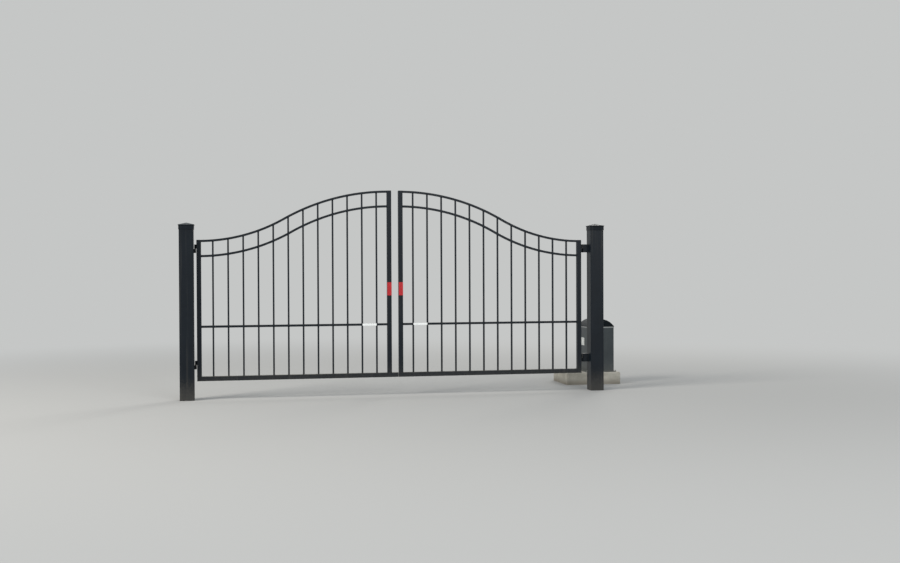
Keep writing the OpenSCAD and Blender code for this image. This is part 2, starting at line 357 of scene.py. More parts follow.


# Post caps: pressed caps that stand on the tubes, a collar under a thin lip and a shallow pyramid, in a
# lighter copy of the posts' black with a pale blue-grey top, both painted skylight on the caps.
COLLAR_HEIGHT = 0.046
COLLAR_EDGE = 0.001
LIP_HEIGHT = 0.010
LIP_OUT = 0.005
LIP_EDGE = 0.0015
LIP_CORNER = POST_CORNER + LIP_OUT
CAP_BEND = 0.003
BEND_DROP, BEND_IN = 0.0005, 0.0012
SLOPE_RISE, SLOPE_IN = 0.0008, 0.005
PEAK_DROP, PEAK_HALF, PEAK_CORNER = 0.0012, 0.006, 0.003
TIP_HALF, TIP_CORNER = 0.002, 0.001

# The lighter black and the pale blue-grey laid on the tops as dust are a painted sky highlight.
cap_paint = painted("cap_paint", specular=0.08, bump=0.08, Paint=(0.0095, 0.0125, 0.0165, 1),
                    Dust=(0.15, 0.16, 0.165, 1), On_top=1.0, Splash=0.0, Runs=0.08, Gloss=0.46)


def upright(name, low, high, profile):
    """A loft that stands in the middle of a box: height, distance inside the box, corner radius."""
    half_x, half_y = (high.x - low.x) / 2, (high.y - low.y) / 2
    rings = [(height, half_x - inset, half_y - inset, corner) for height, inset, corner in profile]
    return loft(name, rings, centre=((low.x + high.x) / 2, (low.y + high.y) / 2, 0))


for side in SIDES:
    low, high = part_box(f"{side}_post_cap")
    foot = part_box(f"{side}_post")[1].z
    half = (high.x - low.x) / 2
    lip = foot + COLLAR_HEIGHT
    slope = lip + LIP_HEIGHT
    cap = upright(f"{side}_post_cap_pressing", low, high, [
        (foot, LIP_OUT + COLLAR_EDGE, POST_CORNER),
        (foot + COLLAR_EDGE, LIP_OUT, POST_CORNER + COLLAR_EDGE),
        (lip - COLLAR_EDGE, LIP_OUT, POST_CORNER + COLLAR_EDGE),
        (lip, LIP_OUT - COLLAR_EDGE, POST_CORNER + COLLAR_EDGE),
        (lip, COLLAR_EDGE, LIP_CORNER),
        (lip + LIP_EDGE, 0.0, LIP_CORNER),
        (slope - CAP_BEND, 0.0, LIP_CORNER),
        (slope - BEND_DROP, BEND_IN, LIP_CORNER),
        (slope + SLOPE_RISE, SLOPE_IN, POST_CORNER),
        (high.z - PEAK_DROP, half - PEAK_HALF, PEAK_CORNER),
        (high.z, half - TIP_HALF, TIP_CORNER),
    ])
    show(f"{side}_post_cap_pressing", cap, cap_paint, "posts", "cap_paint", f"{side}_post_cap")


# Leaf frames: two inch square tube for the stiles and the bottom rail, one inch for the
# mid rail, butted and welded. The stiles' heads are closed by small plugs.
STILE_CORNER = 0.004
RAIL_CORNER = 0.0025
PLUG_STEP = 0.0016
PLUG_HEIGHT = 0.003
PLUG_EDGE = 0.001

leaf_paint = painted("leaf_paint", Paint=BLACK_PAINT, On_top=0.34, Splash=0.12, Splash_height=0.42,
                     Runs=0.04, Gloss=0.40)

leaf_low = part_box("left_bottom_rail")[0]
leaf_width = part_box("left_meeting_stile")[1].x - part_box("left_hinge_stile")[0].x
stile_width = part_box("left_hinge_stile")[1].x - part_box("left_hinge_stile")[0].x
rail_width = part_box("left_mid_rail")[1].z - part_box("left_mid_rail")[0].z
hinge_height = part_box("left_hinge_stile")[1].z - leaf_low.z
meeting_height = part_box("left_meeting_stile")[1].z - leaf_low.z
mid_height = (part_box("left_mid_rail")[0].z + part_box("left_mid_rail")[1].z) / 2 - leaf_low.z
hinge_edge = {"left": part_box("left_hinge_stile")[0].x, "right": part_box("right_hinge_stile")[1].x}


def onto_leaf(mesh, side):
    """Moves a mesh from a leaf's own frame, hinge edge at x = 0 and underside at z = 0, to its leaf."""
    place = Matrix.Translation((hinge_edge[side], 0, leaf_low.z))
    if side == "right":
        mesh.transform(place @ Matrix.Diagonal((-1, 1, 1, 1)))
        mesh.flip_normals()
    else:
        mesh.transform(place)
    return mesh


def stile(name, low, high):
    """An upright tube whose head is closed by a plug, set in by its wall."""
    head = high.z - PLUG_HEIGHT
    return upright(name, low, high, [
        (low.z, 0.0, STILE_CORNER),
        (head - TUBE_EDGE, 0.0, STILE_CORNER),
        (head, TUBE_EDGE, STILE_CORNER),
        (head, PLUG_STEP, STILE_CORNER),
        (high.z - PLUG_EDGE, PLUG_STEP, STILE_CORNER),
        (high.z, PLUG_STEP + PLUG_EDGE, STILE_CORNER),
    ])


for side in SIDES:
    body = f"{side}_leaf"
    for node in (f"{side}_hinge_stile", f"{side}_meeting_stile"):
        show(node + "_tube", stile(node + "_tube", *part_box(node)), leaf_paint, body, "leaf_paint", node)
    for node, corner in ((f"{side}_bottom_rail", STILE_CORNER), (f"{side}_mid_rail", RAIL_CORNER)):
        rail = tube(node + "_tube", *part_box(node), corner)
        show(node + "_tube", rail, leaf_paint, body, "leaf_paint", node)


# Arched rails: two parallel one inch bars in each leaf, bent in two tangent arcs, the
# first hollow and the second crowned, and welded between the stiles.
HOLLOW_SHARE = 0.44
ARCH_POINTS = 110
BAR_ROUND_STEPS = 3

arch_sizes = {
    "Start": stile_width / 2,
    "Span": leaf_width - stile_width,
    "Foot": hinge_height - rail_width / 2,
    "Rise": meeting_height - hinge_height,
    "Share": HOLLOW_SHARE,
}
lower_rail_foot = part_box("left_lower_arch_rail")[0].z - leaf_low.z
arch_gap = hinge_height - rail_width - lower_rail_foot


def new_tree(name, **sizes):
    """A geometry tree with named inputs, as the tree and its inputs' sockets by label."""
    made = bpy.data.node_groups.new(name, "GeometryNodeTree")
    made.interface.new_socket("Geometry", in_out="OUTPUT", socket_type="NodeSocketGeometry")
    made.interface.new_socket("Places", in_out="INPUT", socket_type="NodeSocketGeometry")
    for label, value in sizes.items():
        kind = "NodeSocketInt" if isinstance(value, int) else "NodeSocketFloat"
        label = label.replace("_", " ")
        made.interface.new_socket(label, in_out="INPUT", socket_type=kind).default_value = value
    made.interface.new_socket("Finish", in_out="INPUT", socket_type="NodeSocketMaterial")
    return made, put(made, "NodeGroupInput")


def finish_tree(made, geometry, finish):
    """Ends a tree in plain geometry with its material."""
    plain = put(made, "GeometryNodeRealizeInstances", {"Geometry": geometry})[0]
    done = put(made, "GeometryNodeSetMaterial", {"Geometry": plain, "Material": finish})[0]
    put(made, "NodeGroupOutput", {"Geometry": done})


def grow(name, made, finish, places=((0, 0, 0),), **sizes):
    """Runs a geometry tree on these places and sizes, and returns its result as a plain mesh."""
    seed_mesh = bpy.data.meshes.new(name + "_places")
    seed_mesh.from_pydata(list(places), [], [])
    seed = bpy.data.objects.new(name + "_seed", seed_mesh)
    bpy.context.scene.collection.objects.link(seed)
    modifier = seed.modifiers.new(name, "NODES")
    modifier.node_group = made
    sockets = {s.name: s.identifier for s in made.interface.items_tree if s.in_out == "INPUT"}
    modifier[sockets["Finish"]] = finish
    for label, value in sizes.items():
        modifier[sockets[label.replace("_", " ")]] = value
    depsgraph = bpy.context.evaluated_depsgraph_get()
    mesh = bpy.data.meshes.new_from_object(seed.evaluated_get(depsgraph), depsgraph=depsgraph)
    mesh.name = name
    bpy.data.objects.remove(seed)
    return mesh


def vector(made, x=0.0, y=0.0, z=0.0):
    """A vector of three values or sockets."""
    return put(made, "ShaderNodeCombineXYZ", {"X": x, "Y": y, "Z": z})[0]


def rectangle(made, width, depth, corner, count):
    """A rectangle of curve with round corners."""
    flat = put(made, "GeometryNodeCurvePrimitiveQuadrilateral", {"Width": width, "Height": depth})[0]
    given = {"Curve": flat, "Count": count, "Radius": corner, "Limit Radius": True}
    return put(made, "GeometryNodeFilletCurve", given, mode="POLY")[0]


# Height and slope of an arched rail's middle at a distance from the leaf's hinge edge. Both
# bends have the same two centres in both rails, so the rails stay parallel.
arch_line = bpy.data.node_groups.new("arch_line", "GeometryNodeTree")
for label in ("X", "Set in", *arch_sizes):
    arch_line.interface.new_socket(label, in_out="INPUT", socket_type="NodeSocketFloat")
for label in ("Height", "Slope"):
    arch_line.interface.new_socket(label, in_out="OUTPUT", socket_type="NodeSocketFloat")
tree = arch_line
sizes = put(tree, "NodeGroupInput")
sweep = calc(tree, "MULTIPLY", calc(tree, "ARCTAN2", sizes["Rise"], sizes["Span"]), 2.0)
both = calc(tree, "DIVIDE", sizes["Span"], calc(tree, "SINE", sweep))
hollow = calc(tree, "MULTIPLY", both, sizes["Share"])
crown = calc(tree, "SUBTRACT", both, hollow)
first_bend = calc(tree, "ADD", hollow, sizes["Set in"])
second_bend = calc(tree, "SUBTRACT", crown, sizes["Set in"])
from_start = calc(tree, "SUBTRACT", sizes["X"], sizes["Start"])
to_end = calc(tree, "SUBTRACT", sizes["Span"], from_start)
first_slope = calc(tree, "ARCSINE", calc(tree, "DIVIDE", from_start, first_bend))
second_slope = calc(tree, "ARCSINE", calc(tree, "DIVIDE", to_end, second_bend))
first_drop = calc(tree, "MULTIPLY", first_bend, calc(tree, "COSINE", first_slope))
second_lift = calc(tree, "MULTIPLY", second_bend, calc(tree, "COSINE", second_slope))
first_centre = calc(tree, "ADD", sizes["Foot"], hollow)
second_centre = calc(tree, "SUBTRACT", calc(tree, "ADD", sizes["Foot"], sizes["Rise"]), crown)
first_height = calc(tree, "SUBTRACT", first_centre, first_drop)
second_height = calc(tree, "ADD", second_centre, second_lift)
turning = calc(tree, "MULTIPLY", first_bend, calc(tree, "SINE", sweep))
turned = calc(tree, "GREATER_THAN", from_start, turning)
given = {"Switch": turned, "False": first_height, "True": second_height}
height = put(tree, "GeometryNodeSwitch", given, input_type="FLOAT")[0]
given = {"Switch": turned, "False": first_slope, "True": second_slope}
slope = put(tree, "GeometryNodeSwitch", given, input_type="FLOAT")[0]
put(tree, "NodeGroupOutput", {"Height": height, "Slope": slope})


def along_arch(made, sizes, x, set_in):
    """Height and slope of a rail at x, in a tree that has the arch's sizes among its inputs."""
    given = {"X": x, "Set in": set_in, **{label: sizes[label] for label in arch_sizes}}
    rail = put(made, "GeometryNodeGroup", given, node_tree=arch_line)
    return rail["Height"], rail["Slope"]


arched_rail, sizes = new_tree(
    "arched_rail", Set_in=0.0, From=stile_width, To=leaf_width - stile_width, Bar=rail_width,
    Corner=RAIL_CORNER, Points=ARCH_POINTS, **arch_sizes,
)
tree = arched_rail
ends = {"Start": vector(tree, sizes["From"]), "End": vector(tree, sizes["To"])}
line = put(tree, "GeometryNodeCurvePrimitiveLine", ends)[0]
line = put(tree, "GeometryNodeResampleCurve", {"Curve": line, "Count": sizes["Points"]})[0]
here = put(tree, "ShaderNodeSeparateXYZ", {0: put(tree, "GeometryNodeInputPosition")[0]})
height, slope = along_arch(tree, sizes, here["X"], sizes["Set in"])
place = vector(tree, here["X"], 0.0, height)
line = put(tree, "GeometryNodeSetPosition", {"Geometry": line, "Position": place})[0]
line = put(tree, "GeometryNodeSetCurveNormal", {"Curve": line}, mode="Z_UP")[0]
section = rectangle(tree, sizes["Bar"], sizes["Bar"], sizes["Corner"], BAR_ROUND_STEPS)
given = {"Curve": line, "Profile Curve": section, "Fill Caps": True}
finish_tree(tree, put(tree, "GeometryNodeCurveToMesh", given)[0], sizes["Finish"])

for side in SIDES:
    for level, set_in in (("upper", 0.0), ("lower", arch_gap)):
        node = f"{side}_{level}_arch_rail"
        bent = onto_leaf(grow(node + "_bent", arched_rail, leaf_paint, Set_in=set_in), side)
        show(node + "_bent", bent, leaf_paint, f"{side}_leaf", "leaf_paint", node)


# Pickets: twelve square tubes in each leaf. They stand on the bottom rail, pass through
# punched holes in the mid and lower arched rails, end under the upper one, and are
# welded wherever they meet a rail, with a bead round each.
PICKET_CORNER = 0.0022
PICKET_COUNT = 12
BEAD = 0.0026
BEAD_POINTS = 24
BEAD_SIDES = 5
BEAD_CORNER = 0.0022
BEAD_ROUND_STEPS = 2
WEAVE_TURN = 2.1
WEAVE_SWELL = 0.16

picket_low, picket_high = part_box("left_pickets")
picket_width = picket_high.y - picket_low.y
picket_sizes = {
    "Width": picket_width,
    "First": picket_low.x + picket_width / 2 - hinge_edge["left"],
    "Pitch": (picket_high.x - picket_low.x - picket_width) / (PICKET_COUNT - 1),
    "Bottom rail": stile_width,
    "Middle rail": mid_height,
    "Bar": rail_width,
    "Arch gap": arch_gap,
}


def weld_bead(made, width, depth, bead):
    """A closed bead round a rectangle that lies flat, rippled by the weave of the torch."""
    path = rectangle(made, width, depth, BEAD_CORNER, BEAD_ROUND_STEPS)
    path = put(made, "GeometryNodeResampleCurve", {"Curve": path, "Count": BEAD_POINTS})[0]
    index = put(made, "GeometryNodeInputIndex")[0]
    weave = calc(made, "SINE", calc(made, "MULTIPLY", index, WEAVE_TURN))
    swell = calc(made, "MULTIPLY_ADD", weave, WEAVE_SWELL, 1.0)
    section = put(made, "GeometryNodeCurvePrimitiveCircle", {"Resolution": BEAD_SIDES, "Radius": bead})[0]
    given = {"Curve": path, "Profile Curve": section, "Scale": swell}
    return put(made, "GeometryNodeCurveToMesh", given)[0]


def gather(made, pieces):
    """Several geometries as one."""
    whole = put(made, "GeometryNodeJoinGeometry")[0]
    for piece in pieces:
        made.links.new(piece, made.nodes[-1].inputs[0])
    return whole


picket_row, sizes = new_tree(
    "picket_row", Count=PICKET_COUNT, Corner=PICKET_CORNER, Bead=BEAD, **picket_sizes, **arch_sizes
)
tree = picket_row
first = vector(tree, sizes["First"], 0.0, sizes["Bottom rail"])
given = {"Count": sizes["Count"], "Start Location": first, "Offset": vector(tree, sizes["Pitch"])}
row = put(tree, "GeometryNodeMeshLine", given, mode="OFFSET")[0]
here = put(tree, "ShaderNodeSeparateXYZ", {0: put(tree, "GeometryNodeInputPosition")[0]})
under_top, top_slope = along_arch(tree, sizes, here["X"], 0.0)
at_lower, lower_slope = along_arch(tree, sizes, here["X"], sizes["Arch gap"])
straight = put(tree, "GeometryNodeCurvePrimitiveLine", {"End": (0, 0, 1)})[0]
section = rectangle(tree, sizes["Width"], sizes["Width"], sizes["Corner"], BAR_ROUND_STEPS)
given = {"Curve": straight, "Profile Curve": section, "Fill Caps": True}
bar = put(tree, "GeometryNodeCurveToMesh", given)[0]
length = calc(tree, "SUBTRACT", under_top, sizes["Bottom rail"])
given = {"Points": row, "Instance": bar, "Scale": vector(tree, 1.0, 1.0, length)}
bars = put(tree, "GeometryNodeInstanceOnPoints", given)[0]
half_bar = calc(tree, "MULTIPLY", sizes["Bar"], 0.5)
bead = weld_bead(tree, sizes["Width"], sizes["Width"], sizes["Bead"])
meetings = [
    (sizes["Bottom rail"], 0.0, 0.0), (sizes["Middle rail"], 0.0, -1.0), (sizes["Middle rail"], 0.0, 1.0),
    (at_lower, lower_slope, -1.0), (at_lower, lower_slope, 1.0), (under_top, top_slope, -1.0),
]
pieces = [bars]
for rail, slope, face in meetings:
    stretch = calc(tree, "DIVIDE", 1.0, calc(tree, "COSINE", slope))
    off = calc(tree, "MULTIPLY", calc(tree, "MULTIPLY", half_bar, stretch), face)
    place = vector(tree, here["X"], 0.0, calc(tree, "ADD", rail, off))
    spots = put(tree, "GeometryNodeSetPosition", {"Geometry": row, "Position": place})[0]
    lean = vector(tree, 0.0, calc(tree, "MULTIPLY", slope, -1.0))
    tilt = put(tree, "FunctionNodeEulerToRotation", {0: lean})[0]
    scale = vector(tree, stretch, 1.0, 1.0)
    given = {"Points": spots, "Instance": bead, "Rotation": tilt, "Scale": scale}
    pieces.append(put(tree, "GeometryNodeInstanceOnPoints", given)[0])
finish_tree(tree, gather(tree, pieces), sizes["Finish"])

for side in SIDES:
    pickets = onto_leaf(grow(f"{side}_picket_row", picket_row, leaf_paint), side)
    show(f"{side}_picket_row", pickets, leaf_paint, f"{side}_leaf", "leaf_paint", f"{side}_pickets")


# Frame welds: a bead round each rail's end against its stile, ground flush on top at the
# stiles' heads, and a low one round each stile's foot, all painted over with the leaf.
FLUSH_BEAD = 0.0015
GROUND_OFF = 0.0062

weld_row, sizes = new_tree("weld_row", Width=rail_width, Depth=rail_width, Bead=BEAD, Turn_X=0.0, Turn_Y=0.0)
tree = weld_row
turn = put(tree, "FunctionNodeEulerToRotation", {0: vector(tree, sizes["Turn X"], sizes["Turn Y"])})[0]
bead = weld_bead(tree, sizes["Width"], sizes["Depth"], sizes["Bead"])
given = {"Points": sizes["Places"], "Instance": bead, "Rotation": turn}
finish_tree(tree, put(tree, "GeometryNodeInstanceOnPoints", given)[0], sizes["Finish"])


def joined(name, meshes):
    """Several meshes as one."""
    vertices, faces = [], []
    for mesh in meshes:
        first = len(vertices)
        vertices += [tuple(vertex.co) for vertex in mesh.vertices]
        faces += [tuple(first + i for i in face.vertices) for face in mesh.polygons]
    whole = bpy.data.meshes.new(name)
    whole.from_pydata(vertices, [], faces)
    return whole


arch_foot, arch_head = arch_sizes["Foot"], arch_sizes["Foot"] + arch_sizes["Rise"]
near, far = stile_width, leaf_width - stile_width
rail_ends = [(x, 0, z) for x, z in (
    (near, mid_height), (far, mid_height), (near, arch_foot - arch_gap), (far, arch_head - arch_gap),
)]
top_ends = [(near, 0, arch_foot - GROUND_OFF / 2), (far, 0, arch_head - GROUND_OFF / 2)]
stile_feet = [(near / 2, 0, stile_width), (leaf_width - near / 2, 0, stile_width)]
for side in SIDES:
    welds = joined(f"{side}_frame_welds", (
        grow("rail_end_welds", weld_row, leaf_paint, rail_ends, Turn_Y=QUARTER_TURN),
        grow("top_rail_welds", weld_row, leaf_paint, top_ends, Width=rail_width - GROUND_OFF,
             Turn_Y=QUARTER_TURN),
        grow("stile_foot_welds", weld_row, leaf_paint, stile_feet, Width=stile_width, Depth=stile_width,
             Bead=FLUSH_BEAD),
    ))
    show(f"{side}_frame_welds", onto_leaf(welds, side), leaf_paint, f"{side}_leaf", "leaf_paint")


# Hinges: weld-on barrel hinges. Each post carries a knuckle with a fixed pin, each leaf an
# eye on a flat strap that turns on a bronze washer. At the right post a box section
# packs the seat out.
TURN_STEPS = 48
PIN_RADIUS = 0.006
PIN_SHY = 0.001
PIN_TIP = 0.001
BORE_EASE = 0.0004
BARREL_CHAMFER = 0.0014
WASHER_IN = 0.0012
WASHER_SHY = 0.0008
SEAT_REACH = 0.015
SEAT_CORNER = 0.002
STRAP_THICK = 0.012
STRAP_EDGE = 0.0016
STRAP_OFF_BORE = 0.002
PACKING_WIDTH = 0.060
PACKING_CORNER = 0.004

# The hinges' black is a lighter copy of the posts' paint, painted light against the leaf's shade, and the
# pale colour laid on their tops as dust is painted sunlight on the faces that look up.
hinge_paint = painted("hinge_paint", Paint=(0.0072, 0.0110, 0.0155, 1), Dust=(0.42, 0.41, 0.38, 1),
                      On_top=1.6, Splash=0.0, Runs=0.08, Gloss=0.45, Peel=1.6)

BRONZE = (0.32, 0.20, 0.08, 1)
BRONZE_TARNISH = (0.09, 0.06, 0.035, 1)

# The group that every small unpainted piece shares: a clean and a worn tone in patches,
# and a gloss to match.
patches, given = shader_group(
    "patches",
    {"Clean": BRONZE, "Worn": BRONZE_TARNISH, "Scale": 180.0, "Start": 0.35, "End": 0.7,
     "Smooth": 0.3, "Rough": 0.65},
    {"Colour": "NodeSocketColor", "Roughness": "NodeSocketFloat"},
)
tree = patches
place = put(tree, "ShaderNodeTexCoord")["Object"]
wear = noise(tree, place, given["Scale"], detail=5)
colour = blend(tree, ramp(tree, wear, given["Start"], given["End"]), given["Clean"], given["Worn"])
rough = remap(tree, wear, given["Smooth"], given["Rough"])
put(tree, "NodeGroupOutput", {"Colour": colour, "Roughness": rough})


def unpainted(name, metallic=0.0, **values):
    """A bare, plated or moulded finish, from the patches group with its own values."""
    material, tree = new_material(name)
    skin = place_group(tree, patches, values)
    given = {"Base Color": skin["Colour"], "Roughness": skin["Roughness"], "Metallic": metallic}
    put(tree, "ShaderNodeOutputMaterial", {"Surface": put(tree, "ShaderNodeBsdfPrincipled", given)[0]})
    return material


washer_bronze = unpainted("washer_bronze", metallic=1.0)


def turned_solid(name, outline, centre, hollow=False):
    """A solid turned about an upright axis, through (radius, height) points from its foot up."""
    vertices, faces = [], []
    for radius, height in outline:
        for step in range(TURN_STEPS):
            angle = math.tau * step / TURN_STEPS
            x, y = centre[0] + radius * math.cos(angle), centre[1] + radius * math.sin(angle)
            vertices.append((x, y, height))
    for ring in range(len(outline) - (0 if hollow else 1)):
        low, high = ring * TURN_STEPS, (ring + 1) % len(outline) * TURN_STEPS
        for i in range(TURN_STEPS):
            j = (i + 1) % TURN_STEPS
            faces.append((low + i, low + j, high + j, high + i))
    if not hollow:
        faces.append(tuple(reversed(range(TURN_STEPS))))
        faces.append(tuple(range(len(vertices) - TURN_STEPS, len(vertices))))
    mesh = bpy.data.meshes.new(name)
    mesh.from_pydata(vertices, [], faces)
    return mesh


joint_places = {joint["name"]: joint["pos_m"] for joint in frame["joints"]}
post_welds = []
for side in SIDES:
    axis_x, axis_y = joint_places[f"{side}_leaf_hinge"][:2]
    post_low, post_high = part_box(f"{side}_post")
    towards_post = -1 if side == "left" else 1
    post_face = post_high.x if side == "left" else post_low.x
    strap_welds = []
    for level in ("lower", "upper"):
        name = f"{side}_{level}_hinge"
        seat_low, eye_low, eye_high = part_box(name + "_seat")[0], *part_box(name + "_eye")
        radius = eye_high.y - axis_y
        knuckle = eye_high.z - eye_low.z
        foot, head, rise = seat_low.z, eye_high.z - PIN_SHY, seat_low.z + knuckle

        pieces = [turned_solid(name + "_knuckle", [
            (radius - BARREL_CHAMFER, foot), (radius, foot + BARREL_CHAMFER),
            (radius, rise - BARREL_CHAMFER), (radius - BARREL_CHAMFER, rise),
            (PIN_RADIUS, rise), (PIN_RADIUS, head - PIN_TIP), (PIN_RADIUS - PIN_TIP, head),
        ], (axis_x, axis_y))]
        block_end = axis_x + towards_post * SEAT_REACH
        block_x = sorted((axis_x, block_end))
        pieces.append(tube(name + "_block", (block_x[0], axis_y - radius, foot),
                           (block_x[1], axis_y + radius, rise), SEAT_CORNER))
        post_welds.append(((block_end, axis_y, foot + knuckle / 2), knuckle, 2 * radius))
        if side == "right":
            half = PACKING_WIDTH / 2
            pieces.append(tube(name + "_packing", (block_end, axis_y - half, foot),
                               (post_face, axis_y + half, eye_high.z), PACKING_CORNER))
            seam = (post_face, axis_y, (foot + eye_high.z) / 2)
            post_welds.append((seam, eye_high.z - foot, PACKING_WIDTH))
        post_half = joined(name + "_post_half", pieces)
        show(name + "_post_half", post_half, hinge_paint, "posts", "hinge_paint", name + "_seat")

        rim, top = radius - WASHER_IN, eye_low.z - WASHER_SHY
        ring = [(PIN_RADIUS, rise), (rim, rise), (rim, top), (PIN_RADIUS, top)]
        washer = turned_solid(name + "_washer", ring, (axis_x, axis_y), hollow=True)
        show(name + "_washer", washer, washer_bronze, "posts", "hinge_paint")

        bore = PIN_RADIUS + BORE_EASE
        eye = turned_solid(name + "_barrel", [
            (bore, eye_low.z), (radius - BARREL_CHAMFER, eye_low.z), (radius, eye_low.z + BARREL_CHAMFER),
            (radius, eye_high.z - BARREL_CHAMFER), (radius - BARREL_CHAMFER, eye_high.z), (bore, eye_high.z),
        ], (axis_x, axis_y), hollow=True)
        stile_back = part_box(f"{side}_hinge_stile")[1].y
        strap_end = eye_high.x if side == "left" else eye_low.x
        strap_x = sorted((axis_x - towards_post * (bore + STRAP_OFF_BORE), strap_end))
        strap = tube(name + "_strap", (strap_x[0], stile_back, eye_low.z),
                     (strap_x[1], stile_back + STRAP_THICK, eye_high.z), STRAP_EDGE)
        leaf_half = joined(name + "_leaf_half", (eye, strap))
        show(name + "_leaf_half", leaf_half, hinge_paint, f"{side}_leaf", "hinge_paint", name + "_eye")
        lap = abs(strap_end - hinge_edge[side])
        strap_welds.append(((strap_end + hinge_edge[side]) / 2, stile_back, eye_low.z + knuckle / 2))
    welds = grow(f"{side}_strap_welds", weld_row, hinge_paint, strap_welds, Width=lap, Depth=knuckle,
                 Turn_X=QUARTER_TURN)
    show(f"{side}_strap_welds", welds, hinge_paint, f"{side}_leaf", "hinge_paint")

welds = [grow("seat_weld", weld_row, hinge_paint, [seam], Width=tall, Depth=wide, Turn_Y=QUARTER_TURN)
         for seam, tall, wide in post_welds]
show("seat_welds", joined("seat_welds", welds), hinge_paint, "posts", "hinge_paint")


# Reflective markers: a red plate on each meeting stile and a white strip on each mid rail,
# both stuck to the street side, of clear-faced sheeting with a lattice of small cells.
PLATE_CORNER = 0.003
PLATE_EDGE = 0.0005
CELL = 0.0055
MARKER_RED = (0.43, 0.009, 0.015, 1)
MARKER_RED_SEAM = (0.58, 0.055, 0.060, 1)
MARKER_WHITE = (0.95, 0.96, 0.94, 1)
MARKER_WHITE_SEAM = (0.78, 0.80, 0.78, 1)

sheeting, given = shader_group(
    "sheeting", {"Face": MARKER_RED, "Seam": MARKER_RED_SEAM, "Cell": CELL},
    {"Colour": "NodeSocketColor", "Height": "NodeSocketFloat", "Roughness": "NodeSocketFloat"},
)
tree = sheeting
place = put(tree, "ShaderNodeTexCoord")["Object"]
here = put(tree, "ShaderNodeSeparateXYZ", {0: place})
rising = calc(tree, "DIVIDE", calc(tree, "ADD", here["X"], here["Z"]), given["Cell"])
falling = calc(tree, "DIVIDE", calc(tree, "SUBTRACT", here["X"], here["Z"]), given["Cell"])
rising, falling = calc(tree, "PINGPONG", rising, 0.5), calc(tree, "PINGPONG", falling, 0.5)
cell = ramp(tree, calc(tree, "MINIMUM", rising, falling), 0.02, 0.12)
grime = noise(tree, place, scale=26, detail=6, roughness=0.65)
fresh = blend(tree, cell, given["Seam"], given["Face"])
aged = scaled(tree, fresh, remap(tree, grime, 1.04, 0.88, start=0.3, end=0.75))
rough = remap(tree, grime, 0.16, 0.42)
put(tree, "NodeGroupOutput", {"Colour": aged, "Height": cell, "Roughness": rough})


def reflective(name, **values):
    """Reflective sheeting of one colour."""
    material, tree = new_material(name)
    film = place_group(tree, sheeting, values)
    relief = put(tree, "ShaderNodeBump", {"Height": film["Height"], "Strength": 0.3, "Distance": 0.0002})[0]
    shader = put(tree, "ShaderNodeBsdfPrincipled", {
        "Base Color": film["Colour"], "Roughness": film["Roughness"], "Normal": relief,
        "Specular IOR Level": 0.25, "Coat Weight": 0.06, "Coat Roughness": 0.12,
    })[0]
    put(tree, "ShaderNodeOutputMaterial", {"Surface": shader})
    return material


def plate(name, low, high, axis):
    """A thin plate with round corners and broken edges, its thickness along axis."""
    return tube(name, low, high, PLATE_CORNER, PLATE_EDGE, axis)


red_sheeting = reflective("red_marker", Face=MARKER_RED, Seam=MARKER_RED_SEAM)
white_sheeting = reflective("white_marker", Face=MARKER_WHITE, Seam=MARKER_WHITE_SEAM)
for side in SIDES:
    for hue, sheet in (("red", red_sheeting), ("white", white_sheeting)):
        node = f"{side}_{hue}_marker"
        marker = plate(node + "_plate", *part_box(node), "Y")
        show(node + "_plate", marker, sheet, f"{side}_leaf", f"{hue}_marker", node)


# Operator pad: a block of cast concrete behind the right post, its top edges broken with a
# float, pitted by air holes and splashed with soil.
PAD_CORNER = 0.010
PAD_CHAMFER = 0.012
SOIL_HEIGHT = 0.09
CONCRETE_PALE = (0.58, 0.55, 0.475, 1)
CONCRETE_DARK = (0.34, 0.32, 0.27, 1)
CONCRETE_SOIL = (0.13, 0.105, 0.075, 1)

concrete, tree = new_material("concrete")
place = put(tree, "ShaderNodeTexCoord")["Object"]
blotch = noise(tree, place, scale=5, detail=7, roughness=0.6)
sand = noise(tree, place, scale=260, detail=4, roughness=0.7)
pores = put(tree, "ShaderNodeTexVoronoi", {"Vector": place, "Scale": 70})["Distance"]
pit = calc(tree, "SUBTRACT", 1.0, ramp(tree, pores, 0.06, 0.16))
height = put(tree, "ShaderNodeSeparateXYZ", {0: place})["Z"]
near_foot = calc(tree, "SUBTRACT", 1.0, calc(tree, "DIVIDE", height, SOIL_HEIGHT))
ragged = calc(tree, "ADD", near_foot, calc(tree, "SUBTRACT", blotch, 0.5))
soil = calc(tree, "MULTIPLY", ramp(tree, ragged, 0.0, 1.0), 0.6)
tone = blend(tree, ramp(tree, blotch, 0.3, 0.75), CONCRETE_DARK, CONCRETE_PALE)
tone = scaled(tree, tone, remap(tree, sand, 0.75, 1.22, start=0.25, end=0.75))
tone = blend(tree, soil, tone, CONCRETE_SOIL)
tone = blend(tree, calc(tree, "MULTIPLY", pit, 0.6), tone, CONCRETE_SOIL)
grit = calc(tree, "SUBTRACT", calc(tree, "MULTIPLY", sand, 0.6), calc(tree, "MULTIPLY", pit, 1.5))
relief = put(tree, "ShaderNodeBump", {"Height": grit, "Strength": 0.6, "Distance": 0.0012})[0]
given = {"Base Color": tone, "Roughness": remap(tree, blotch, 0.82, 0.96), "Normal": relief}
shader = put(tree, "ShaderNodeBsdfPrincipled", given)[0]
put(tree, "ShaderNodeOutputMaterial", {"Surface": shader})

low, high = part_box("operator_pad")
pad = upright("operator_pad_casting", low, high, [
    (low.z, 0.0, PAD_CORNER),
    (high.z - PAD_CHAMFER, 0.0, PAD_CORNER),
    (high.z - PAD_CHAMFER / 3, PAD_CHAMFER / 3, PAD_CORNER),
    (high.z, PAD_CHAMFER, PAD_CORNER),
])
show("operator_pad_casting", pad, concrete, "posts", "concrete", "operator_pad")
